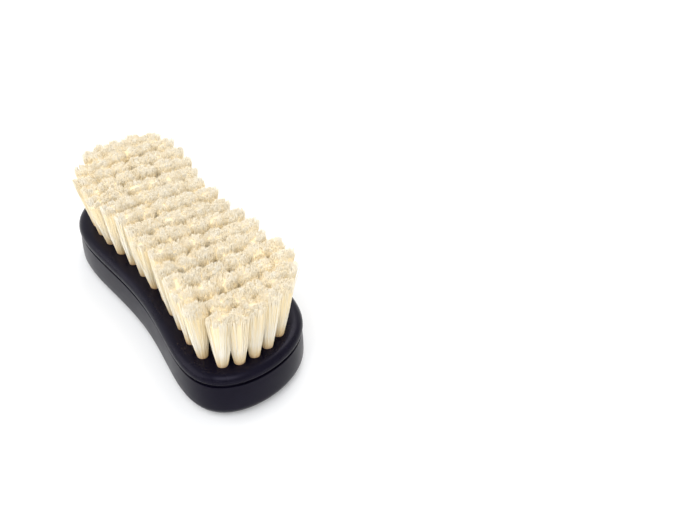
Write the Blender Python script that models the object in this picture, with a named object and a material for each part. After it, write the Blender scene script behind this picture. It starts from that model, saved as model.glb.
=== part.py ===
"""Polishing brush: an S-shaped hand block of two boards, with rows of ivory bristle tufts.

The brush lies on its flat back, bristles up. The origin is on the table, under the middle of
the block. +X is the end that the rows are counted towards, +Z is up. Metres.
"""

import math

import bmesh
import bpy

# Outline of the block, seen from above
LENGTH = 0.175
LOBE_WIDTH = 0.0626
WAIST_WIDTH = 0.0585
END_RADIUS = 0.0300
SWAY = 0.0080
OUTLINE_POINTS = 84

# Back board, the part that the hand holds
BACK_THICKNESS = 0.0190
BACK_EDGE_INSET = 0.0073
BACK_EDGE_HEIGHT = 0.0062
SHOULDER_HEIGHT = 0.0015
GROOVE_DEPTH = 0.0014

# Bristle board, the thin drilled board over it
BOARD_THICKNESS = 0.0047
BOARD_LIP_HEIGHT = 0.0010
BOARD_BEAD_HEIGHT = 0.0034
BOARD_BEAD_INSET = 0.0044

# Bristles
BRISTLE_LENGTH = 0.0290
TUFT_INSET = 0.0095
ROW_PITCH = 0.0113
ROW_SLANT = math.radians(6.5)
TUFT_PITCH = 0.0083
END_ROW_ADVANCE = 0.0008
END_ROW_CLEAR_WAY = 0.0044
BOW_DEPTH = 0.0148
BOW_CENTRE = 0.008
BOW_POWER_ALONG = 3
BOW_POWER_ACROSS = 1.5
TUFT_RADIUS = 0.0022
TUFT_NECK = 0.0026
TUFT_SPREAD = 0.0052
TUFT_CROWN = 0.0009
STRANDS_PER_TUFT = 5
STRAND_SLIT_AT_NECK = 0.0003
STRAND_SLIT_AT_TIP = 0.0008
TUFT_GAP_AT_TIP = 0.0006
TIP_FAN_SHARE = 0.03
TURN_FROM_ROW_TO_ROW = math.radians(40.0)
TURN_FROM_TUFT_TO_TUFT = math.radians(109.0)

# Bedding of the tufts, between the two boards
BED_THICKNESS = 0.0010
BED_MARGIN = 0.0005
BED_END_SHARE = 0.5
WIRE_RADIUS = 0.0003
WIRE_TAIL = 0.0010
POCKET_MARGIN = 0.0016

CLEARANCE = 0.0003
CUTTER_OVERRUN = 0.0010
HOLE_SIDES = 8

# Fineness of the walk round the tip, and of the search for the ends of a row
WALK_REACH_DEGREES = 100
WALK_STEPS_PER_DEGREE = 4
HALVINGS = 30

# Tufts of the end row: share of the way round the tip, between the ends of the last straight row
END_ROW_WAY_SHARES = [0.18, 0.325, 0.47, 0.61, 0.77]

# Rings of the two boards: share of the inset, share of the height
BACK_EDGE_RING_SHARES = [(1.0, 0.0), (0.66, 0.09), (0.36, 0.27), (0.15, 0.52), (0.03, 0.80), (0.0, 1.0)]
SHOULDER_RING_SHARES = [(0.0, 0.0), (0.12, 0.36), (0.42, 0.70), (1.0, 1.0)]
LIP_RING_SHARES = [(1.0, 0.0), (0.42, 0.30), (0.10, 0.66), (0.0, 1.0)]
BEAD_RING_SHARES = [(0.06, 0.34), (0.24, 0.66), (0.54, 0.90), (1.0, 1.0)]

# Places worked out from the sizes above
BOARD_BOTTOM = BACK_THICKNESS + CLEARANCE
BOARD_TOP = BOARD_BOTTOM + BOARD_THICKNESS
TIP_HEIGHT = BOARD_TOP + BRISTLE_LENGTH
BED_TOP = BOARD_BOTTOM - CLEARANCE
BED_BOTTOM = BED_TOP - BED_THICKNESS
WIRE_HEIGHT = BED_BOTTOM - CLEARANCE - WIRE_RADIUS
POCKET_FLOOR = WIRE_HEIGHT - WIRE_RADIUS - CLEARANCE
BED_HALF_WIDTH = TUFT_RADIUS + BED_MARGIN
END_ROW_INSET = TUFT_INSET - END_ROW_ADVANCE
END_ROW_GAP = 2 * BED_HALF_WIDTH + END_ROW_CLEAR_WAY
POCKET_INSET = END_ROW_INSET - BED_HALF_WIDTH - POCKET_MARGIN
HOLE_RADIUS = (TUFT_RADIUS + CLEARANCE) / math.cos(math.pi / HOLE_SIDES)


def clear_scene():
    for obj in list(bpy.data.objects):
        bpy.data.objects.remove(obj, do_unlink=True)


def material(name, colour, roughness, metallic=0.0, coat=0.0):
    made = bpy.data.materials.new(name)
    made.use_nodes = True
    shader = made.node_tree.nodes["Principled BSDF"]
    shader.inputs["Base Color"].default_value = (*colour, 1.0)
    shader.inputs["Roughness"].default_value = roughness
    shader.inputs["Metallic"].default_value = metallic
    shader.inputs["Coat Weight"].default_value = coat
    made.diffuse_color = (*colour, 1.0)
    return made


def outline_point(angle):
    """A waisted oval whose middle line sways to +Y in the +X half and to -Y in the other."""
    end_slope = math.sqrt(END_RADIUS * LENGTH / 2)
    waist = WAIST_WIDTH / 2
    lobe = LOBE_WIDTH / 2 / math.sin(math.pi / 3)
    second = (end_slope - waist) / 2
    fourth = ((end_slope + waist) / 2 - lobe - second / 2) / 1.5
    first = (end_slope + waist) / 2 - fourth
    half_width = first + second * math.cos(2 * angle) + fourth * math.cos(4 * angle)
    sway = SWAY * 1.5 * math.sqrt(3) * math.sin(angle) ** 2 * math.cos(angle)
    return LENGTH / 2 * math.cos(angle), math.sin(angle) * half_width + sway


def inset_point(angle, inset):
    """The outline's point at this angle, moved square to the outline by the inset."""
    step = 1e-4
    x0, y0 = outline_point(angle - step)
    x1, y1 = outline_point(angle + step)
    run = math.hypot(x1 - x0, y1 - y0)
    x, y = outline_point(angle)
    return x - inset * (y1 - y0) / run, y + inset * (x1 - x0) / run


def inset_outline(inset, count=OUTLINE_POINTS):
    return [inset_point(2 * math.pi * i / count, inset) for i in range(count)]


def add_object(name, mesh_builder, finish):
    """Makes a named object from a bmesh, with its faces out and its rounded sides shaded smooth."""
    bmesh.ops.recalc_face_normals(mesh_builder, faces=mesh_builder.faces)
    mesh = bpy.data.meshes.new(name)
    mesh_builder.to_mesh(mesh)
    mesh_builder.free()
    mesh.materials.append(finish)
    obj = bpy.data.objects.new(name, mesh)
    bpy.context.scene.collection.objects.link(obj)
    return obj


def shade_round(obj, sharp_degrees):
    obj.data.shade_smooth()
    obj.data.set_sharp_from_angle(angle=math.radians(sharp_degrees))


def loft(builder, rings):
    """Bridges closed rings of equal count, in order, and caps the first and the last."""
    loops = [[builder.verts.new(point) for point in ring] for ring in rings]
    for lower, upper in zip(loops, loops[1:]):
        for i in range(len(lower)):
            j = (i + 1) % len(lower)
            builder.faces.new((lower[i], lower[j], upper[j], upper[i]))
    builder.faces.new(list(reversed(loops[0])))
    builder.faces.new(loops[-1])


def ring_at(inset, height):
    return [(x, y, height) for x, y in inset_outline(inset)]


def make_back(finish):
    """The back board: flat underneath, large rounded edge, shoulder into the groove, pocket on top."""
    rings = []
    for inset_share, height_share in BACK_EDGE_RING_SHARES:
        rings.append(ring_at(BACK_EDGE_INSET * inset_share, BACK_EDGE_HEIGHT * height_share))
    shoulder_start = BACK_THICKNESS - SHOULDER_HEIGHT
    for inset_share, height_share in SHOULDER_RING_SHARES:
        height = shoulder_start + SHOULDER_HEIGHT * height_share
        rings.append(ring_at(GROOVE_DEPTH * inset_share, height))
    rings.append(ring_at(POCKET_INSET, BACK_THICKNESS))
    rings.append(ring_at(POCKET_INSET, POCKET_FLOOR))
    builder = bmesh.new()
    loft(builder, rings)
    back = add_object("back", builder, finish)
    shade_round(back, 40)
    return back


def straight_rows():
    """How many straight rows lie each way from the middle one, and their even pitch up to the end row."""
    reach = LENGTH / 2 - END_ROW_INSET - END_ROW_GAP
    count = round(reach / ROW_PITCH)
    return count, reach / count


def row_point(row, across):
    """A point of a row, which bows back from the tip more and more towards the ends of the block."""
    count, pitch = straight_rows()
    side = -1 if row < 0 else 1
    outward = abs(side * across + BOW_CENTRE) / (LOBE_WIDTH / 2)
    bow = BOW_DEPTH * abs(row / (count + 1)) ** BOW_POWER_ALONG * outward**BOW_POWER_ACROSS
    along = row * pitch - side * bow
    x = along * math.cos(ROW_SLANT) - across * math.sin(ROW_SLANT)
    y = along * math.sin(ROW_SLANT) + across * math.cos(ROW_SLANT)
    return x, y


def is_inside(point, corners):
    """Whether a point is inside a closed outline, by the number of edges it sees along X."""
    x, y = point
    inside = False
    for (x0, y0), (x1, y1) in zip(corners, corners[1:] + corners[:1]):
        if (y0 > y) != (y1 > y) and x < x0 + (y - y0) / (y1 - y0) * (x1 - x0):
            inside = not inside
    return inside


def row_reach(row, side, corners):
    """How far a row runs to one side before it meets the line of the outermost tufts."""
    near, far = 0.0, side * LENGTH / 2
    for _ in range(HALVINGS):
        middle = (near + far) / 2
        if is_inside(row_point(row, middle), corners):
            near = middle
        else:
            far = middle
    return near


def nearest_step(line, place):
    return min(range(len(line)), key=lambda step: math.dist(line[step], place))


def end_row_places(side):
    """The tufts of the end row, on a line of their own round the tip of the block."""
    last, _ = straight_rows()
    corners = inset_outline(TUFT_INSET)
    steps = WALK_REACH_DEGREES * WALK_STEPS_PER_DEGREE
    line = []
    for step in range(-steps, steps + 1):
        line.append(inset_point(math.radians(step / WALK_STEPS_PER_DEGREE), END_ROW_INSET))
    low_end, high_end = [row_point(last, row_reach(last, end, corners)) for end in (-1, 1)]
    line = line[nearest_step(line, low_end):nearest_step(line, high_end) + 1]
    walked = [0.0]
    for near, far in zip(line, line[1:]):
        walked.append(walked[-1] + math.dist(near, far))
    places = []
    for share in END_ROW_WAY_SHARES:
        goal = walked[-1] * share
        step = min(range(len(walked)), key=lambda i: abs(walked[i] - goal))
        places.append((side * line[step][0], side * line[step][1]))
    return places


def tuft_rows():
    """The places of all tufts, as rows from the -X end to the +X end."""
    corners = inset_outline(TUFT_INSET)
    each_way, _ = straight_rows()
    rows = [end_row_places(-1)]
    for row in range(-each_way, each_way + 1):
        low = row_reach(row, -1, corners)
        high = row_reach(row, 1, corners)
        count = max(2, round((high - low) / TUFT_PITCH) + 1)
        acrosses = [low + (high - low) * i / (count - 1) for i in range(count)]
        rows.append([row_point(row, across) for across in acrosses])
    rows.append(end_row_places(1))
    return rows


def hole_ring(centre, height):
    x, y = centre
    corners = []
    for i in range(HOLE_SIDES):
        turn = ROW_SLANT + 2 * math.pi * i / HOLE_SIDES
        corners.append((x + HOLE_RADIUS * math.cos(turn), y + HOLE_RADIUS * math.sin(turn), height))
    return corners


def drill_board(board, rows):
    """Cuts one hole for each tuft, right through the board."""
    builder = bmesh.new()
    for row in rows:
        for place in row:
            below = hole_ring(place, BOARD_BOTTOM - CUTTER_OVERRUN)
            above = hole_ring(place, BOARD_TOP + CUTTER_OVERRUN)
            loft(builder, [below, above])
    cutter = add_object("tuft_hole_cutter", builder, board.data.materials[0])
    cutter.hide_render = True
    cutter.display_type = "WIRE"
    holes = board.modifiers.new("tuft_holes", "BOOLEAN")
    holes.operation = "DIFFERENCE"
    holes.solver = "EXACT"
    holes.object = cutter


def make_board(rows, finish):
    """The bristle board: a lip that rises out of the groove, a rounded rim and a flat drilled face."""
    rings = []
    for inset_share, height_share in LIP_RING_SHARES:
        height = BOARD_BOTTOM + BOARD_LIP_HEIGHT * height_share
        rings.append(ring_at(GROOVE_DEPTH * inset_share, height))
    bead_start = BOARD_TOP - BOARD_BEAD_HEIGHT
    for inset_share, height_share in BEAD_RING_SHARES:
        height = bead_start + BOARD_BEAD_HEIGHT * height_share
        rings.append(ring_at(BOARD_BEAD_INSET * inset_share, height))
    builder = bmesh.new()
    loft(builder, rings)
    board = add_object("bristle_board", builder, finish)
    shade_round(board, 40)
    drill_board(board, rows)
    return board


def strip_corners(row):
    """The two long sides of the bed under one row. It narrows past the end tufts."""
    left, right = [], []
    for i, (x, y) in enumerate(row):
        x0, y0 = row[max(i - 1, 0)]
        x1, y1 = row[min(i + 1, len(row) - 1)]
        run = math.hypot(x1 - x0, y1 - y0)
        dx, dy = (x1 - x0) / run, (y1 - y0) / run
        stations = [(0.0, BED_HALF_WIDTH)]
        if i == 0:
            stations.insert(0, (-TUFT_RADIUS, BED_HALF_WIDTH * BED_END_SHARE))
        if i == len(row) - 1:
            stations.append((TUFT_RADIUS, BED_HALF_WIDTH * BED_END_SHARE))
        for along, half_width in stations:
            left.append((x + dx * along - dy * half_width, y + dy * along + dx * half_width))
            right.append((x + dx * along + dy * half_width, y + dy * along - dx * half_width))
    return left + right[::-1]


def tip_reach(place, places, turn):
    """How far a tuft's crown spreads in one direction before it comes near a neighbour's."""
    reach = TUFT_SPREAD
    for other in places:
        dx, dy = other[0] - place[0], other[1] - place[1]
        apart = math.hypot(dx, dy)
        if apart == 0:
            continue
        facing = math.cos(turn) * dx / apart + math.sin(turn) * dy / apart
        if facing > 0:
            reach = min(reach, (apart - TUFT_GAP_AT_TIP) / 2 / facing)
    return reach


def tip_place(place):
    x, y = place
    return x * (1 + TIP_FAN_SHARE), y * (1 + TIP_FAN_SHARE)


def strand_ring(place, height, turn, slit, reaches, rise=0.0):
    """Three corners of a strand at one height: its core, then its two outer corners."""
    x, y = place
    width = math.pi / STRANDS_PER_TUFT
    core = slit / 2 / math.sin(width)
    ring = [(x + core * math.cos(turn), y + core * math.sin(turn), height + rise)]
    for side, reach in zip((-1, 1), reaches):
        corner = turn + side * (width - slit / 2 / reach)
        ring.append((x + reach * math.cos(corner), y + reach * math.sin(corner), height))
    return ring


def tuft(builder, place, places, start):
    """One tuft: a neck whose top splits into strands, with slits between them.

    The strands twist a little, so their sides are folded from the core at the neck to the corner
    at the tip, all alike, and the slits stay open.
    """
    width = math.pi / STRANDS_PER_TUFT
    neck_reaches = [TUFT_RADIUS, TUFT_RADIUS]
    feet, necks, cores = [], [], []
    for i in range(STRANDS_PER_TUFT):
        turn = start + 2 * width * i
        tip_reaches = [tip_reach(place, places, turn - width), tip_reach(place, places, turn + width)]
        crown = TUFT_CROWN * (1 + math.cos(3 * turn)) / 2
        bed_middle = BED_BOTTOM + BED_THICKNESS / 2
        foot = strand_ring(place, bed_middle, turn, STRAND_SLIT_AT_NECK, neck_reaches)
        neck = strand_ring(place, BOARD_TOP + TUFT_NECK, turn, STRAND_SLIT_AT_NECK, neck_reaches)
        tip_height = TIP_HEIGHT - TUFT_CROWN
        tip = strand_ring(tip_place(place), tip_height, turn, STRAND_SLIT_AT_TIP, tip_reaches, crown)
        core, left, right = [builder.verts.new(point) for point in neck]
        core_tip, left_tip, right_tip = [builder.verts.new(point) for point in tip]
        builder.faces.new((core, left, left_tip))
        builder.faces.new((core, left_tip, core_tip))
        builder.faces.new((left, right, right_tip))
        builder.faces.new((left, right_tip, left_tip))
        builder.faces.new((right, core, right_tip))
        builder.faces.new((core, core_tip, right_tip))
        builder.faces.new((core_tip, left_tip, right_tip))
        feet += [builder.verts.new(point) for point in foot[1:]]
        necks += [left, right]
        cores.append(core)
    for i in range(len(feet)):
        builder.faces.new((feet[i - 1], feet[i], necks[i], necks[i - 1]))
    for i in range(STRANDS_PER_TUFT):
        builder.faces.new((cores[i - 1], necks[2 * i - 1], necks[2 * i], cores[i]))
    builder.faces.new(cores)
    builder.faces.new(feet)


def make_tuft_row(index, row, places, finish):
    """One row of tufts: a thin bed under the board, a neck through each hole, strands above."""
    name = f"tuft_row_{index:02d}"
    builder = bmesh.new()
    corners = strip_corners(row)
    loft(builder, [[(x, y, height) for x, y in corners] for height in (BED_BOTTOM, BED_TOP)])
    bed = add_object(name, builder, finish)

    builder = bmesh.new()
    for number, place in enumerate(row):
        start = TURN_FROM_ROW_TO_ROW * index + TURN_FROM_TUFT_TO_TUFT * number
        tuft(builder, place, places, start)
    tufts = add_object(f"{name}_tufts", builder, finish)
    tufts.hide_render = True
    tufts.display_type = "WIRE"
    union = bed.modifiers.new("tufts", "BOOLEAN")
    union.operation = "UNION"
    union.solver = "EXACT"
    union.object = tufts
    return bed


def make_draw_wire(index, row, finish):
    """The wire that the tufts of one row are drawn in with. It lies under the bed of the row."""
    name = f"draw_wire_{index:02d}"
    curve = bpy.data.curves.new(name, "CURVE")
    curve.dimensions = "3D"
    curve.bevel_depth = WIRE_RADIUS
    curve.bevel_resolution = 0
    curve.use_fill_caps = True
    line = curve.splines.new("POLY")
    line.points.add(len(row) - 1)
    for i, (x, y) in enumerate(row):
        x0, y0 = row[max(i - 1, 0)]
        x1, y1 = row[min(i + 1, len(row) - 1)]
        run = math.hypot(x1 - x0, y1 - y0)
        tail = WIRE_TAIL * ((i == len(row) - 1) - (i == 0)) / run
        line.points[i].co = (x + (x1 - x0) * tail, y + (y1 - y0) * tail, WIRE_HEIGHT, 1.0)
    curve.materials.append(finish)
    wire = bpy.data.objects.new(name, curve)
    bpy.context.scene.collection.objects.link(wire)
    return wire


def main():
    clear_scene()
    lacquer = material("black_lacquer", (0.012, 0.012, 0.020), 0.38, coat=0.25)
    bristle = material("ivory_bristle", (0.86, 0.76, 0.56), 0.62)
    steel = material("draw_wire_steel", (0.55, 0.55, 0.56), 0.35, metallic=1.0)
    rows = tuft_rows()
    places = [place for row in rows for place in row]
    make_back(lacquer)
    make_board(rows, lacquer)
    for index, row in enumerate(rows, start=1):
        make_tuft_row(index, row, places, bristle)
        make_draw_wire(index, row, steel)
    print("tufts", len(places), "strands", len(places) * STRANDS_PER_TUFT)


main()
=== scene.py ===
"""The looks of the polishing brush: satin black lacquer, ivory bristle, a soft white studio.

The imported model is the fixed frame. The two boards and the fifteen rows of bristle are
modelled anew at the places that the frame gives. The brush lies on its back. Metres, +Z up.
"""

import math

import bmesh
import bpy
import numpy as np
from mathutils import Matrix, Vector


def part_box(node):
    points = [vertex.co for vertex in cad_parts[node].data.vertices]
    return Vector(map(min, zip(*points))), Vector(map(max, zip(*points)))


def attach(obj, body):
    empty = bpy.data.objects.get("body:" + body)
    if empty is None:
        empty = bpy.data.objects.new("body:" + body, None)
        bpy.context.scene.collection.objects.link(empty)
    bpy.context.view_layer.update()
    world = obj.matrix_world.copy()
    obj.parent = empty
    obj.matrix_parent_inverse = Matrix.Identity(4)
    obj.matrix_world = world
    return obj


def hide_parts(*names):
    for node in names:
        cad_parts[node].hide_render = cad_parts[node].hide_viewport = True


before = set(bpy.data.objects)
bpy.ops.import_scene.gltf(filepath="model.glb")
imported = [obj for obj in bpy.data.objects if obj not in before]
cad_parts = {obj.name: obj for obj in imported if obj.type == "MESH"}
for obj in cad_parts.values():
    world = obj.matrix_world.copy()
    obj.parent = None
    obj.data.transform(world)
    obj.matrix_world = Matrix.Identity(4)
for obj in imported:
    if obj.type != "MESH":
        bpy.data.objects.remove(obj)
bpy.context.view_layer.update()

# Camera, as the photograph was taken
CAMERA_PLACE = (0.36887, -0.08145, 0.29522)
CAMERA_TURN = math.radians(65.2)
CAMERA_DIP = math.radians(35.92)
CAMERA_ROLL = math.radians(0.26)
CAMERA_LENS = 48.79
CAMERA_NEAR = 0.01
SENSOR_WIDTH = 36.0

# Studio floor and the low wall that it turns up into
FLOOR_RADIUS = 3.0
FLOOR_SIDES = 96
WALL_CURVE_STEPS = 8
WALL_CURVE = 0.8
WALL_HEIGHT = 1.1
FLOOR_COLOUR = (0.80, 0.80, 0.80, 1.0)
FLOOR_ROUGHNESS = 0.9
FLOOR_LIFT = 0.16

# Light of the studio, and the softboxes: name, place, width, height, power and colour
WHITE = (1.0, 1.0, 1.0, 1.0)
ROOM_LIGHT = 0.72
LAMP_AIM = (0, 0, 0.03)
SOFTBOXES = [
    ("left_softbox", (-0.5, -1.7, 1.1), 2.2, 1.6, 20.0, (1.0, 1.0, 1.0)),
    ("front_softbox", (1.2, -0.45, 1.75), 1.5, 1.3, 22.0, (0.94, 0.965, 1.0)),
    ("back_softbox", (-0.9, 1.0, 1.9), 1.4, 1.4, 19.0, (1.0, 0.99, 0.97)),
]

# Reading the frame and the new meshes: what counts as one height, one place, facing up or one neck
SAME_HEIGHT = 1e-5
PLACE_DIGITS = 5
SHARE_DIGITS = 6
FACING = 0.9
NECK_HEIGHT_AT_MOST = 0.005
NECK_WIDTH_SHARE = 2.5
MERGE_DISTANCE = 1e-6

# Rounded edges of the boards: height, inset and the power of the curve between them
OUTLINE_STEPS = 4
ROUNDING_STEPS = 9
FOOT_HEIGHT, FOOT_INSET, FOOT_POWER = 0.0062, 0.0073, 1.8
LIP_HEIGHT, LIP_INSET, LIP_POWER = 0.0010, 0.0014, 2.0
BEAD_HEIGHT, BEAD_INSET, BEAD_POWER = 0.0034, 0.0044, 2.0
ARRIS, ARRIS_POWER = 0.0003, 2.0
FACE_MARGIN = 0.0006
SMOOTH_ANGLE = math.radians(35)

# Wall of the back board, the groove above it, and the pocket for the beds of the tufts
BARREL_START, BARREL_INSET, BARREL_STEPS = 0.0090, 0.0005, 4
SHOULDER_HEIGHT, SHOULDER_INSET = 0.0015, 0.0014
POCKET_INSET = 0.0044
POCKET_DEPTH = 0.0022

# Holes in the bristle board
HOLE_RADIUS = 0.00235
HOLE_SIDES = 20
HOLE_CHAMFER = 0.00025
CUT_OVERRUN = 0.001

# Hairs
SEED = 11
HAIRS_PER_TUFT = 900
HAIR_SIDES = 3
HAIR_RADIUS = 0.000125
HAIR_RADIUS_SPREAD = 0.3
HAIR_SHARES = [0.0, 0.35, 1.0]
HAIR_SLIMMING_SHARES = [1.0, 1.0, 0.85]
ROOT_DEPTH = 0.0010
GOLDEN_SHARE = 3 - math.sqrt(5)

# Tuft: how it opens from its neck, fans out from the middle of the board, leans and waves
TUFT_RADIUS = 0.00215
SPREAD = 0.0040
SPREAD_POWER = 1.27
FAN_SHARES = (0.012, 0.085)
LEAN = (0.0003, 0.0005)
TUFT_LEAN = 0.0008
BEND_POWER = 1.7
WAVE = 0.00018

# Locks: how many hairs' tips gather, how strongly, and how much a lock rises to its peak
LOCKS_PER_TUFT = 26
LOCK_PULL = 0.35
LOCK_PULL_LEAST_SHARE = 0.6
LOCK_JITTER = 0.0004
LOCK_PEAK_SHARE = 0.55
LOCK_RIM_POWER = 4

# Cut of the tips: valleys between the tufts, and uneven, short and stray hairs
VALLEY_DEPTH = 0.0022
VALLEY_WIDTH = 0.0050
VALLEY_POWER = 2.0
VALLEY_SHARE_IN_ROW = 0.5
FAR_HAIR = 0.0055
TUFT_LENGTH_SPREAD = 0.0005
LOCK_LENGTH_SPREAD = 0.0008
HAIR_LENGTH_SPREAD = 0.0010
SHORT_HAIR_SHARE = 0.05
SHORT_HAIR_DEPTH = 0.0030
TIP_JITTER = 0.00035
STRAY_SHARE = 0.02
STRAY_REACH = 0.0010

# Shade of a hair: what its lock and the hair itself add at random, and the painted shade that the valleys
# add to it
LOCK_SHADE, HAIR_SHADE, PAINTED_VALLEY_SHADE = 0.3, 0.2, 0.5

# Packed core of a tuft, under its hairs, and the foot in its hole
CORE_SIDES = 16
CORE_DEPTH = 0.0030
CORE_SHARES = [0.0, 0.15, 0.35, 0.6, 0.93, 0.965, 0.985, 1.0]
CORE_WIDTH_SHARES = [0.86, 0.86, 0.86, 0.86, 0.86, 0.7, 0.45, 0.15]
# The core reads its colour up to this share of the map, in the warmer band of painted shade below the
# tips.
CORE_LENGTH_ON_MAP = 0.9
FOOT_SINK = 0.0005

# Lacquer: its colours, its gloss, and the scales and edges of what shows in its skin
LACQUER_DARK = (0.0034, 0.0028, 0.0080, 1.0)
LACQUER_WORN = (0.0070, 0.0058, 0.0150, 1.0)
LACQUER_DUST = (0.040, 0.037, 0.054, 1.0)
LACQUER_GLINT = (0.84, 0.78, 1.0, 1.0)
LACQUER_REFLECTION = 0.13
PEEL_DETAIL = 1.5
GRAIN_STRETCH, GRAIN_DETAIL, GRAIN_ROUGHNESS = (90.0, 1400.0, 1400.0), 4.0, 0.6
SMUDGE_STRETCH, SMUDGE_DETAIL, SMUDGE_ROUGHNESS = (38.0, 60.0, 60.0), 5.0, 0.62
SMUDGE_EDGES = (0.45, 0.75)
SMUDGE_DULLING = 0.16
DUST_SCALE, DUST_DETAIL = 5200.0, 1.0
DUST_EDGES = (0.74, 0.80)
SKIN_DEPTH, SKIN_STRENGTH = 0.00002, 0.5
BACK_SKIN = {"peel_scale": 700.0, "grain": 0.45, "smudge": 0.7, "roughness": 0.30}
BOARD_SKIN = {"peel_scale": 1100.0, "grain": 0.20, "smudge": 0.4, "roughness": 0.27}

# Bristle: its colours from root to tip, and how far its hairs differ
BRISTLE_ROOT = (0.80, 0.56, 0.32, 1.0)
BRISTLE_TIP = (0.99, 0.95, 0.86, 1.0)
BRISTLE_TONES = [
    (0.10, (0.93, 0.80, 0.56, 1.0)),
    (0.30, (0.99, 0.965, 0.90, 1.0)),
    # The warmer tone at 0.80, just below the pale tips, is painted shade of the depth among the tips.
    (0.80, (0.985, 0.93, 0.79, 1.0)),
]
# BRISTLE_WARMTH tints each hair by its shade: at random, and as painted shade in the valleys and on the
# cores.
BRISTLE_WARMTH = (0.98, 0.88, 0.67, 1.0)
STREAK_STRETCH, STREAK_DETAIL = (900.0, 7.0, 1.0), 2.0
STREAK_EDGES = (0.3, 0.7)
SHADE_SHARE = 0.8
WARM_EDGES = (0.15, 0.85)
BRISTLE_ROUGHNESS = (0.38, 0.62)
BRISTLE_REFLECTION = 0.15

# Draw wire
STEEL_COLOUR = (0.55, 0.55, 0.56, 1.0)
STEEL_ROUGHNESS = 0.35


def activate(obj):
    bpy.ops.object.select_all(action="DESELECT")
    obj.select_set(True)
    bpy.context.view_layer.objects.active = obj


def edit(obj):
    activate(obj)
    bpy.ops.object.mode_set(mode="EDIT")
    bpy.ops.mesh.select_mode(type="FACE")
    bpy.ops.mesh.select_all(action="DESELECT")


def end_edit():
    bpy.ops.object.mode_set(mode="OBJECT")


def select_faces(obj, wanted):
    """Selects the faces, in edit mode, for which wanted(face) holds."""
    mesh = bmesh.from_edit_mesh(obj.data)
    for face in mesh.faces:
        face.select_set(wanted(face))
    mesh.select_flush_mode()
    bmesh.update_edit_mesh(obj.data)


def place_in_mesh(obj):
    """Leaves the object at the origin, unturned and unscaled, with its place in its mesh."""
    activate(obj)
    bpy.ops.object.transform_apply(location=True, rotation=True, scale=True)


def finish_piece(piece, name, material, slot, *nodes):
    """Names a new piece, gives it its finish, and lets it stand for its CAD nodes."""
    piece.name = name
    piece.data.name = name
    piece.data.materials.clear()
    piece.data.materials.append(material)
    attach(piece, "root")
    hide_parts(*nodes)
    return piece


# Shape of the block


def block_outline():
    """The outline of the block, read from the back board and rounded between its points."""
    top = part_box("back")[1].z - SHOULDER_HEIGHT
    found = {}
    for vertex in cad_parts["back"].data.vertices:
        if abs(vertex.co.z - top) < SAME_HEIGHT:
            place = round(vertex.co.x, PLACE_DIGITS), round(vertex.co.y, PLACE_DIGITS)
            found[place] = vertex.co.to_2d()
    ring = sorted(found.values(), key=lambda p: math.atan2(p.y, p.x))
    outline = []
    for i, here in enumerate(ring):
        before, after, beyond = ring[i - 1], ring[(i + 1) % len(ring)], ring[(i + 2) % len(ring)]
        for step in range(OUTLINE_STEPS):
            t = step / OUTLINE_STEPS
            point = 2 * here + (after - before) * t
            point += (2 * before - 5 * here + 4 * after - beyond) * t**2
            point += (3 * here - before - 3 * after + beyond) * t**3
            outline.append(point / 2)
    return outline


def rounding(height, inset, power):
    """Steps (inset, height) of a rounded edge that starts upright and ends flat."""
    points = []
    for step in range(ROUNDING_STEPS + 1):
        turn = math.pi / 2 * step / ROUNDING_STEPS
        rise = math.sin(turn) ** (2 / power)
        run = 1 - math.cos(turn) ** (2 / power)
        points.append((inset * run, height * rise))
    return [(b[0] - a[0], b[1] - a[1]) for a, b in zip(points, points[1:])]


def barrel(height):
    """Steps (inset, height) of a wall that draws in a little more and more towards its top."""
    ways = [(step / BARREL_STEPS) ** 2 for step in range(BARREL_STEPS + 1)]
    rise = height / BARREL_STEPS
    return [(BARREL_INSET * (far - near), rise) for near, far in zip(ways, ways[1:])]


def slab(outline, bottom, top):
    """An upright slab of the block's outline, in edit mode with its top face selected."""
    bpy.ops.object.select_all(action="DESELECT")
    bpy.ops.mesh.primitive_circle_add(vertices=len(outline), radius=1.0, fill_type="NGON")
    piece = bpy.context.active_object
    for vertex, point in zip(piece.data.vertices, outline):
        vertex.co = (point.x, point.y, bottom)
    edit(piece)
    bpy.ops.mesh.select_all(action="SELECT")
    bpy.ops.mesh.extrude_region_move(TRANSFORM_OT_translate={"value": (0, 0, top - bottom)})
    bpy.ops.mesh.select_all(action="SELECT")
    bpy.ops.mesh.normals_make_consistent(inside=False)
    select_faces(piece, lambda face: face.normal.z > FACING)
    return piece


def round_edge(steps):
    """Draws the selected face in and out of the slab, step by step."""
    for inset, height in steps:
        bpy.ops.mesh.inset(thickness=inset, depth=height, use_even_offset=True)


def make_back(outline, material):
    """The back board: rounded foot, barrelled wall, square groove and the pocket for the beds."""
    low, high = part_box("back")
    piece = slab(outline, low.z + FOOT_HEIGHT, low.z + BARREL_START)
    round_edge(barrel(high.z - SHOULDER_HEIGHT - low.z - BARREL_START))
    round_edge(rounding(ARRIS, ARRIS, ARRIS_POWER))
    bpy.ops.mesh.inset(thickness=SHOULDER_INSET - BARREL_INSET - ARRIS, depth=0.0)
    bpy.ops.mesh.extrude_region_move(TRANSFORM_OT_translate={"value": (0, 0, SHOULDER_HEIGHT - ARRIS)})
    bpy.ops.mesh.inset(thickness=POCKET_INSET - SHOULDER_INSET, depth=0.0)
    bpy.ops.mesh.extrude_region_move(TRANSFORM_OT_translate={"value": (0, 0, -POCKET_DEPTH)})
    select_faces(piece, lambda face: face.normal.z < -FACING)
    round_edge(rounding(FOOT_HEIGHT, FOOT_INSET, FOOT_POWER))
    bpy.ops.mesh.inset(thickness=FACE_MARGIN, depth=0.0)
    end_edit()
    bpy.ops.object.shade_smooth_by_angle(angle=SMOOTH_ANGLE)
    return finish_piece(piece, "lacquered_back", material, "back_lacquer", "back")


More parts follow.
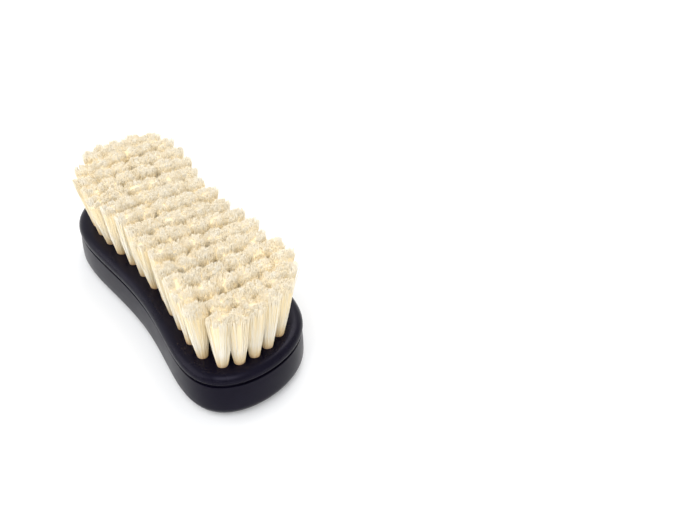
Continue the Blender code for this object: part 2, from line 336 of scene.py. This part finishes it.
def hole_cutter(place, bottom, top):
    """A round punch for one tuft, wider at the face so that the hole has a small chamfer."""
    wide = (HOLE_RADIUS + HOLE_CHAMFER) / HOLE_RADIUS
    bpy.ops.object.select_all(action="DESELECT")
    bpy.ops.mesh.primitive_circle_add(
        vertices=HOLE_SIDES, radius=HOLE_RADIUS, fill_type="NGON", location=(0, 0, bottom - CUT_OVERRUN)
    )
    punch = bpy.context.active_object
    edit(punch)
    bpy.ops.mesh.select_all(action="SELECT")
    rise = top - HOLE_CHAMFER - bottom + CUT_OVERRUN
    bpy.ops.mesh.extrude_region_move(TRANSFORM_OT_translate={"value": (0, 0, rise)})
    bpy.ops.mesh.extrude_region_move(TRANSFORM_OT_translate={"value": (0, 0, HOLE_CHAMFER)})
    bpy.ops.transform.resize(value=(wide, wide, 1.0), center_override=(0, 0, top))
    bpy.ops.mesh.extrude_region_move(TRANSFORM_OT_translate={"value": (0, 0, CUT_OVERRUN)})
    bpy.ops.mesh.select_all(action="SELECT")
    bpy.ops.mesh.normals_make_consistent(inside=False)
    end_edit()
    punch.location.x, punch.location.y = place
    return punch


def drill(board, places):
    """Cuts one hole for each tuft right through the board."""
    low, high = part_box("bristle_board")
    first = hole_cutter(places[0], low.z, high.z)
    punches = [first]
    for place in places[1:]:
        punch = first.copy()
        punch.data = first.data.copy()
        punch.location.x, punch.location.y = place
        bpy.context.scene.collection.objects.link(punch)
        punches.append(punch)
    activate(first)
    for punch in punches:
        punch.select_set(True)
    bpy.ops.object.join()
    place_in_mesh(first)
    activate(board)
    cut = board.modifiers.new("tuft_holes", "BOOLEAN")
    cut.operation = "DIFFERENCE"
    cut.solver = "EXACT"
    cut.object = first
    bpy.ops.object.modifier_apply(modifier=cut.name)
    bpy.data.objects.remove(first)


def make_board(outline, places, material):
    """The bristle board: a lip out of the groove, a rounded rim and a flat drilled face."""
    low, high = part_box("bristle_board")
    piece = slab(outline, low.z + LIP_HEIGHT, high.z - BEAD_HEIGHT)
    round_edge(rounding(BEAD_HEIGHT, BEAD_INSET, BEAD_POWER))
    bpy.ops.mesh.inset(thickness=FACE_MARGIN, depth=0.0)
    select_faces(piece, lambda face: face.normal.z < -FACING)
    round_edge(rounding(LIP_HEIGHT, LIP_INSET, LIP_POWER))
    bpy.ops.mesh.inset(thickness=FACE_MARGIN, depth=0.0)
    end_edit()
    drill(piece, places)
    activate(piece)
    bpy.ops.object.shade_smooth_by_angle(angle=SMOOTH_ANGLE)
    return finish_piece(piece, "drilled_bristle_board", material, "board_lacquer", "bristle_board")


# Bristle


def tuft_places(node):
    """Where the tufts of one row leave the board: the middles of their necks, just above it."""
    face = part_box("bristle_board")[1].z
    middles = []
    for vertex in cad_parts[node].data.vertices:
        if not face < vertex.co.z < face + NECK_HEIGHT_AT_MOST:
            continue
        point = vertex.co.to_2d()
        for group in middles:
            if (group[0] - point).length < NECK_WIDTH_SHARE * TUFT_RADIUS:
                group.append(point)
                break
        else:
            middles.append([point])
    places = []
    for group in middles:
        corners = {(round(p.x, PLACE_DIGITS), round(p.y, PLACE_DIGITS)) for p in group}
        places.append(tuple(np.mean(list(corners), axis=0)))
    return sorted(places, key=lambda place: place[1])


def tuft_radius(up):
    """Radius of a tuft at a share of its height above the face: it opens steadily."""
    return TUFT_RADIUS + SPREAD * (1 - (1 - np.clip(up, 0, 1)) ** SPREAD_POWER)


def model_strand(sides, shares, radii):
    """One closed strand of unit length, extruded step by step and given its radius at each."""
    bpy.ops.object.select_all(action="DESELECT")
    bpy.ops.mesh.primitive_circle_add(vertices=sides, radius=radii[0], fill_type="NGON")
    strand = bpy.context.active_object
    edit(strand)
    bpy.ops.mesh.select_all(action="SELECT")
    for i in range(1, len(shares)):
        slim = radii[i] / radii[i - 1]
        rise = shares[i] - shares[i - 1]
        bpy.ops.mesh.extrude_region_move(TRANSFORM_OT_translate={"value": (0, 0, rise)})
        bpy.ops.transform.resize(value=(slim, slim, 1.0), center_override=(0, 0, shares[i]))
    bpy.ops.mesh.select_all(action="SELECT")
    bpy.ops.mesh.normals_make_consistent(inside=False)
    end_edit()
    points = np.array([vertex.co for vertex in strand.data.vertices])
    faces = [list(face.vertices) for face in strand.data.polygons]
    bpy.data.objects.remove(strand)
    return points, faces


def sunflower(count, chance):
    """Places spread evenly over a round: how far out each is, as a share, and which way."""
    number = np.arange(count) + 0.5
    out = np.sqrt(number / count)
    turns = number * math.pi * GOLDEN_SHARE + chance.uniform(0, 2 * math.pi)
    return out, np.stack([np.cos(turns), np.sin(turns)], axis=1)


def gather_locks(tips, chance):
    """The lock of each hair, the peaks of the locks, and how far each tip bends."""
    count = len(tips)
    peaks = tips[chance.permutation(count)[:LOCKS_PER_TUFT]]
    lock = np.argmin(np.linalg.norm(tips[:, None] - peaks[None], axis=2), axis=1)
    peaks = peaks + chance.normal(0, LOCK_JITTER, (LOCKS_PER_TUFT, 2))
    bend = (peaks[lock] - tips) * LOCK_PULL * chance.uniform(LOCK_PULL_LEAST_SHARE, 1.0, (count, 1))
    bend += chance.normal(0, TIP_JITTER, (count, 2))
    stray = chance.random(count) < STRAY_SHARE
    bend[stray] += chance.normal(0, STRAY_REACH, (int(stray.sum()), 2))
    return lock, peaks, bend


def valleys(place, row, places, tips):
    """How deep each tip lies in a valley, which is deeper between rows than within one."""
    own = np.linalg.norm(tips, axis=1)
    valley = np.zeros(len(tips))
    for others, share in ((set(places) - set(row), 1.0), (set(row) - {place}, VALLEY_SHARE_IN_ROW)):
        ways = (np.array(place) + tips)[:, None] - np.array(sorted(others))[None]
        other = np.min(np.linalg.norm(ways, axis=2), axis=1)
        valley = np.maximum(valley, share * np.clip(1 - (other - own) / VALLEY_WIDTH, 0, 1))
    return valley * (own / FAR_HAIR) ** VALLEY_POWER


def cut_tips(top, valley, out, lock, from_peak, chance):
    """The height at which each hair ends."""
    cut = top - VALLEY_DEPTH * valley - TUFT_LENGTH_SPREAD * chance.random()
    cut -= LOCK_PEAK_SHARE * from_peak * (1 - out**LOCK_RIM_POWER)
    cut -= LOCK_LENGTH_SPREAD * chance.random(LOCKS_PER_TUFT)[lock]
    cut -= HAIR_LENGTH_SPREAD * chance.random(len(lock))
    short = chance.random(len(lock)) < SHORT_HAIR_SHARE
    cut[short] -= SHORT_HAIR_DEPTH * chance.random(int(short.sum()))
    return cut


def spread_tuft(place, row, places, face, top, chance):
    """One tuft: its hairs and its packed core, each as a spine function, shades and thicknesses."""
    count = HAIRS_PER_TUFT
    middle = np.array(place)
    length = top - face
    root = face - ROOT_DEPTH
    out, away = sunflower(count, chance)
    tips = away * (out * (TUFT_RADIUS + SPREAD))[:, None]
    lock, peaks, bend = gather_locks(tips, chance)
    lean = middle * FAN_SHARES + LEAN + chance.normal(0, TUFT_LEAN, 2)
    wave = chance.normal(0, WAVE, (count, 2))
    valley = valleys(place, row, places, tips)
    cut = cut_tips(top, valley, out, lock, np.linalg.norm(tips - peaks[lock], axis=1), chance)
    shade = LOCK_SHADE * chance.random(LOCKS_PER_TUFT)[lock] + HAIR_SHADE * chance.random(count)
    # Hairs that end in the valleys between tufts turn warmer: painted shade of the valleys.
    shade += PAINTED_VALLEY_SHADE * np.minimum(valley, 1)
    thick = HAIR_RADIUS * (1 + HAIR_RADIUS_SPREAD * chance.uniform(-1, 1, count))

    def spine(share):
        height = root + (cut - root) * share
        rise = np.maximum(height - face, 0)
        up = (rise / length)[:, None]
        flat = middle + away * out[:, None] * tuft_radius(up) + bend * up**BEND_POWER + lean * up
        flat += wave * np.sin(math.pi * up)
        return np.concatenate([flat, height[:, None]], axis=1)

    def core_spine(share):
        height = root + (top - CORE_DEPTH - root) * share
        return np.array([[*(middle + lean * max(height - face, 0) / length), height]])

    # The core takes the full warmth of a hair's shade: painted shade where it shows between the hairs.
    return (spine, shade, thick), (core_spine, np.ones(1), np.ones(1))


def strand_mesh(name, tufts, strand, length_on_map, chance):
    """Copies a modelled strand along every spine, with a map of shade across and length up."""
    points, faces = strand
    shares = np.round(points[:, 2], SHARE_DIGITS)
    coordinates, across = [], []
    for spine, shade, thick in tufts:
        middles = {share: spine(share) for share in sorted(set(shares))}
        count = len(shade)
        turn = chance.uniform(0, 2 * math.pi, count)
        copies = np.empty((count, len(points), 3))
        for i, (x, y, _) in enumerate(points):
            copies[:, i] = middles[shares[i]]
            copies[:, i, 0] += thick * (x * np.cos(turn) - y * np.sin(turn))
            copies[:, i, 1] += thick * (x * np.sin(turn) + y * np.cos(turn))
        coordinates.append(copies.reshape(-1, 3))
        across.append(shade)
    coordinates = np.concatenate(coordinates)
    across = np.concatenate(across)
    count = len(across)

    corner = np.concatenate(faces)
    starts = np.cumsum([0] + [len(face) for face in faces[:-1]])
    corners = (corner[None] + len(points) * np.arange(count)[:, None]).ravel()
    firsts = (starts[None] + len(corner) * np.arange(count)[:, None]).ravel()
    mesh = bpy.data.meshes.new(name)
    mesh.vertices.add(len(coordinates))
    mesh.vertices.foreach_set("co", coordinates.astype(np.float32).ravel())
    mesh.loops.add(len(corners))
    mesh.loops.foreach_set("vertex_index", corners.astype(np.int32))
    mesh.polygons.add(len(firsts))
    mesh.polygons.foreach_set("loop_start", firsts.astype(np.int32))
    mesh.update(calc_edges=True)
    mesh.validate()
    mesh.shade_flat()
    uv = mesh.uv_layers.new(name="hair_map")
    u = np.repeat(across, len(corner))
    v = np.tile(points[corner, 2] * length_on_map, count)
    uv.data.foreach_set("uv", np.stack([u, v], axis=1).astype(np.float32).ravel())
    return mesh


def tuft_feet(node, top):
    """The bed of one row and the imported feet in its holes: its CAD solid, cut off below the face."""
    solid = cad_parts[node]
    feet = solid.copy()
    feet.data = solid.data.copy()
    bpy.context.scene.collection.objects.link(feet)
    edit(feet)
    bpy.ops.mesh.select_all(action="SELECT")
    bpy.ops.mesh.remove_doubles(threshold=MERGE_DISTANCE)
    bpy.ops.mesh.select_all(action="SELECT")
    bpy.ops.mesh.bisect(
        plane_co=(0, 0, top), plane_no=(0, 0, 1), use_fill=True, clear_outer=True, threshold=MERGE_DISTANCE
    )
    end_edit()
    return feet


def make_row(index, row, places, models, material):
    """One row: the hairs and cores of its tufts, and the bed that their feet share."""
    node = f"tuft_row_{index:02d}"
    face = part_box("bristle_board")[1].z
    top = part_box(node)[1].z
    chance = np.random.default_rng(SEED + index)
    tufts = [spread_tuft(place, row, places, face, top, chance) for place in row]
    parts = []
    for strands, model, length_on_map in zip(zip(*tufts), models, (1.0, CORE_LENGTH_ON_MAP)):
        part = bpy.data.objects.new(node, strand_mesh(node, strands, model, length_on_map, chance))
        bpy.context.scene.collection.objects.link(part)
        parts.append(part)
    parts.append(tuft_feet(node, face - FOOT_SINK))
    activate(parts[0])
    for part in parts:
        part.select_set(True)
    bpy.ops.object.join()
    return finish_piece(parts[0], f"bristle_row_{index:02d}", material, "bristle", node)


# Finishes


def new_material(name):
    material = bpy.data.materials.new(name)
    material.use_nodes = True
    nodes = material.node_tree.nodes
    return material, nodes, material.node_tree.links, nodes["Principled BSDF"]


def new_group(name, inputs, outputs):
    """An empty effect with named inputs, each with its first value, and named outputs."""
    group = bpy.data.node_groups.new(name, "ShaderNodeTree")
    for label, value in inputs:
        kind = "NodeSocketVector" if isinstance(value, tuple) else "NodeSocketFloat"
        socket = group.interface.new_socket(name=label, in_out="INPUT", socket_type=kind)
        socket.default_value = value
    for label in outputs:
        group.interface.new_socket(name=label, in_out="OUTPUT", socket_type="NodeSocketFloat")
    return group, group.nodes.new("NodeGroupInput"), group.nodes.new("NodeGroupOutput")


def feed(links, socket, value):
    """Gives a socket a link from another socket, or a plain number or colour."""
    if isinstance(value, bpy.types.NodeSocket):
        links.new(value, socket)
    else:
        socket.default_value = value


def calculate(nodes, links, operation, first, second):
    """A Math node on two values, each a socket or a number."""
    node = nodes.new("ShaderNodeMath")
    node.operation = operation
    feed(links, node.inputs[0], first)
    feed(links, node.inputs[1], second)
    return node.outputs[0]


def mix_colours(nodes, links, factor, first, second, blend="MIX"):
    """A Mix node on two colours, each a socket or a plain colour."""
    node = nodes.new("ShaderNodeMix")
    node.data_type = "RGBA"
    node.blend_type = blend
    links.new(factor, node.inputs["Factor"])
    feed(links, node.inputs["A"], first)
    feed(links, node.inputs["B"], second)
    return node.outputs["Result"]


def noise(nodes, links, place, scale, detail, roughness=0.5):
    """A Noise node on a place, with its scale as a number or a socket."""
    node = nodes.new("ShaderNodeTexNoise")
    node.inputs["Detail"].default_value = detail
    node.inputs["Roughness"].default_value = roughness
    links.new(place, node.inputs["Vector"])
    feed(links, node.inputs["Scale"], scale)
    return node.outputs["Fac"]


def stretched(nodes, links, place, scale):
    """A place pulled out by a different scale along each axis."""
    mapping = nodes.new("ShaderNodeMapping")
    mapping.inputs["Scale"].default_value = scale
    links.new(place, mapping.inputs["Vector"])
    return mapping.outputs["Vector"]


def remap(nodes, links, value, edges, results=(0.0, 1.0)):
    """A Map Range node that takes the two edges to the two results."""
    node = nodes.new("ShaderNodeMapRange")
    links.new(value, node.inputs["Value"])
    for socket, number in zip(("From Min", "From Max", "To Min", "To Max"), (*edges, *results)):
        node.inputs[socket].default_value = number
    return node.outputs["Result"]


def build_lacquer_skin():
    """Sprayed lacquer over wood: orange peel, a trace of the grain, hand smudges and dust."""
    inputs = [
        ("Place", (0.0, 0.0, 0.0)),
        ("Peel Scale", 900.0),
        ("Peel", 0.5),
        ("Grain", 0.35),
        ("Smudge", 0.5),
    ]
    group, start, end = new_group("lacquer_skin", inputs, ["Tone", "Gloss Loss", "Height", "Dust"])
    nodes, links = group.nodes, group.links
    place = start.outputs["Place"]
    peel = noise(nodes, links, place, start.outputs["Peel Scale"], PEEL_DETAIL)
    along = stretched(nodes, links, place, GRAIN_STRETCH)
    grain = noise(nodes, links, along, 1.0, GRAIN_DETAIL, GRAIN_ROUGHNESS)
    wiped = stretched(nodes, links, place, SMUDGE_STRETCH)
    smudge = noise(nodes, links, wiped, 1.0, SMUDGE_DETAIL, SMUDGE_ROUGHNESS)
    smudge = remap(nodes, links, smudge, SMUDGE_EDGES)
    smudge = calculate(nodes, links, "MULTIPLY", smudge, start.outputs["Smudge"])
    speck = noise(nodes, links, place, DUST_SCALE, DUST_DETAIL)
    dust = remap(nodes, links, speck, DUST_EDGES)
    height = calculate(nodes, links, "MULTIPLY", peel, start.outputs["Peel"])
    streak = calculate(nodes, links, "MULTIPLY", grain, start.outputs["Grain"])
    height = calculate(nodes, links, "ADD", height, streak)
    links.new(calculate(nodes, links, "MULTIPLY", grain, smudge), end.inputs["Tone"])
    links.new(smudge, end.inputs["Gloss Loss"])
    links.new(height, end.inputs["Height"])
    links.new(dust, end.inputs["Dust"])
    return group


def lacquer(name, skin, peel_scale, grain, smudge, roughness):
    """Satin black lacquer: nearly black, a little violet, softly glossy."""
    material, nodes, links, shader = new_material(name)
    place = nodes.new("ShaderNodeTexCoord").outputs["Object"]
    group = nodes.new("ShaderNodeGroup")
    group.node_tree = skin
    links.new(place, group.inputs["Place"])
    group.inputs["Peel Scale"].default_value = peel_scale
    group.inputs["Grain"].default_value = grain
    group.inputs["Smudge"].default_value = smudge
    tone = mix_colours(nodes, links, group.outputs["Tone"], LACQUER_DARK, LACQUER_WORN)
    dusty = mix_colours(nodes, links, group.outputs["Dust"], tone, LACQUER_DUST)
    links.new(dusty, shader.inputs["Base Color"])
    dulled = (roughness, roughness + SMUDGE_DULLING)
    dull = remap(nodes, links, group.outputs["Gloss Loss"], (0.0, 1.0), dulled)
    links.new(dull, shader.inputs["Roughness"])
    bump = nodes.new("ShaderNodeBump")
    bump.inputs["Distance"].default_value = SKIN_DEPTH
    bump.inputs["Strength"].default_value = SKIN_STRENGTH
    links.new(group.outputs["Height"], bump.inputs["Height"])
    links.new(bump.outputs["Normal"], shader.inputs["Normal"])
    shader.inputs["Specular IOR Level"].default_value = LACQUER_REFLECTION
    shader.inputs["Specular Tint"].default_value = LACQUER_GLINT
    return material


def bristle(name):
    """Ivory bristle: warm at the root, pale at the tip with a warmer band of painted shade just below it,
    each hair of its own shade, warmer still where the map carries painted valley shade.
    """
    material, nodes, links, shader = new_material(name)
    uv = nodes.new("ShaderNodeUVMap")
    uv.uv_map = "hair_map"
    parts = nodes.new("ShaderNodeSeparateXYZ")
    links.new(uv.outputs["UV"], parts.inputs[0])
    shade, length = parts.outputs["X"], parts.outputs["Y"]
    ramp = nodes.new("ShaderNodeValToRGB")
    ramp.color_ramp.elements[0].color = BRISTLE_ROOT
    ramp.color_ramp.elements[1].color = BRISTLE_TIP
    for share, colour in BRISTLE_TONES:
        ramp.color_ramp.elements.new(share).color = colour
    links.new(length, ramp.inputs["Fac"])
    along = stretched(nodes, links, uv.outputs["UV"], STREAK_STRETCH)
    streak = noise(nodes, links, along, 1.0, STREAK_DETAIL)
    shade = remap(nodes, links, shade, (0.0, 1.0), (0.0, SHADE_SHARE))
    streak = remap(nodes, links, streak, STREAK_EDGES, (0.0, 1 - SHADE_SHARE))
    own = calculate(nodes, links, "ADD", shade, streak)
    # Warmth follows the hair's shade: random tone, plus painted shade from the valleys and the cores.
    warmth = remap(nodes, links, own, WARM_EDGES)
    warm = mix_colours(nodes, links, warmth, ramp.outputs["Color"], BRISTLE_WARMTH, "MULTIPLY")
    links.new(warm, shader.inputs["Base Color"])
    links.new(remap(nodes, links, own, (0.0, 1.0), BRISTLE_ROUGHNESS), shader.inputs["Roughness"])
    shader.inputs["Specular IOR Level"].default_value = BRISTLE_REFLECTION
    return material


def steel(name):
    """Plain drawn steel wire."""
    material, nodes, links, shader = new_material(name)
    shader.inputs["Base Color"].default_value = STEEL_COLOUR
    shader.inputs["Metallic"].default_value = 1.0
    shader.inputs["Roughness"].default_value = STEEL_ROUGHNESS
    return material


# Studio


def make_studio():
    """A round white floor that turns up into a low wall."""
    bpy.ops.object.select_all(action="DESELECT")
    bpy.ops.mesh.primitive_circle_add(vertices=FLOOR_SIDES, radius=FLOOR_RADIUS, fill_type="NGON")
    floor = bpy.context.active_object
    floor.name = "studio_floor"
    edit(floor)
    bpy.ops.mesh.select_mode(type="EDGE")
    bpy.ops.mesh.select_all(action="SELECT")
    bpy.ops.mesh.region_to_loop()
    reach = FLOOR_RADIUS
    for step in range(WALL_CURVE_STEPS):
        turn = math.pi / 2 * (step + 0.5) / WALL_CURVE_STEPS
        chord = 2 * WALL_CURVE * math.sin(math.pi / 4 / WALL_CURVE_STEPS)
        rise = chord * math.sin(turn)
        wider = (reach + chord * math.cos(turn)) / reach
        reach *= wider
        bpy.ops.mesh.extrude_region_move(TRANSFORM_OT_translate={"value": (0, 0, rise)})
        bpy.ops.transform.resize(value=(wider, wider, 1.0), center_override=(0, 0, 0))
    bpy.ops.mesh.extrude_region_move(TRANSFORM_OT_translate={"value": (0, 0, WALL_HEIGHT - WALL_CURVE)})
    end_edit()
    material, nodes, links, shader = new_material("studio_white")
    shader.inputs["Base Color"].default_value = FLOOR_COLOUR
    shader.inputs["Roughness"].default_value = FLOOR_ROUGHNESS
    shader.inputs["Specular IOR Level"].default_value = 0.0
    path = nodes.new("ShaderNodeLightPath").outputs
    seen = calculate(nodes, links, "MAXIMUM", path["Is Camera Ray"], path["Is Glossy Ray"])
    seen = calculate(nodes, links, "MAXIMUM", seen, path["Is Transmission Ray"])
    shader.inputs["Emission Color"].default_value = WHITE
    links.new(calculate(nodes, links, "MULTIPLY", seen, FLOOR_LIFT), shader.inputs["Emission Strength"])
    floor.data.materials.append(material)


def softbox(name, place, width, height, power, colour):
    """A flat lamp that faces the brush."""
    data = bpy.data.lights.new(name, "AREA")
    data.shape = "RECTANGLE"
    data.size, data.size_y = width, height
    data.energy = power
    data.color = colour
    lamp = bpy.data.objects.new(name, data)
    bpy.context.scene.collection.objects.link(lamp)
    lamp.location = place
    lamp.rotation_euler = (Vector(LAMP_AIM) - Vector(place)).to_track_quat("-Z", "Y").to_euler()


def light_studio():
    """The softboxes, and the even light of a white room."""
    for lamp in SOFTBOXES:
        softbox(*lamp)
    world = bpy.data.worlds.new("studio_world")
    bpy.context.scene.world = world
    world.use_nodes = True
    world.node_tree.nodes["Background"].inputs["Color"].default_value = WHITE
    world.node_tree.nodes["Background"].inputs["Strength"].default_value = ROOM_LIGHT


def make_camera():
    """The camera of the photograph."""
    data = bpy.data.cameras.new("photo_camera")
    data.sensor_width = SENSOR_WIDTH
    data.lens = CAMERA_LENS
    data.clip_start = CAMERA_NEAR
    camera = bpy.data.objects.new("photo_camera", data)
    bpy.context.scene.collection.objects.link(camera)
    camera.matrix_world = (
        Matrix.Translation(CAMERA_PLACE)
        @ Matrix.Rotation(CAMERA_TURN, 4, "Z")
        @ Matrix.Rotation(math.pi / 2 - CAMERA_DIP, 4, "X")
        @ Matrix.Rotation(CAMERA_ROLL, 4, "Z")
    )
    bpy.context.scene.camera = camera
    bpy.context.scene.view_settings.view_transform = "Standard"


def dress_wires():
    """The draw wires keep their CAD shape and get a steel finish."""
    wire = steel("draw_wire_steel")
    for name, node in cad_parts.items():
        if name.startswith("draw_wire"):
            node.data.materials.clear()
            node.data.materials.append(wire)


def dress_brush():
    """The two boards, the rows of bristle and the wires."""
    rows = [tuft_places(name) for name in sorted(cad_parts) if name.startswith("tuft_row")]
    places = [place for row in rows for place in row]
    outline = block_outline()
    skin = build_lacquer_skin()
    make_back(outline, lacquer("back_lacquer", skin, **BACK_SKIN))
    make_board(outline, places, lacquer("board_lacquer", skin, **BOARD_SKIN))
    hair = model_strand(HAIR_SIDES, HAIR_SHARES, HAIR_SLIMMING_SHARES)
    core_radii = list(tuft_radius(np.array(CORE_SHARES)) * CORE_WIDTH_SHARES)
    core = model_strand(CORE_SIDES, CORE_SHARES, core_radii)
    fibre = bristle("ivory_bristle")
    for index, row in enumerate(rows, start=1):
        make_row(index, row, places, (hair, core), fibre)
    dress_wires()


make_camera()
make_studio()
light_studio()
dress_brush()
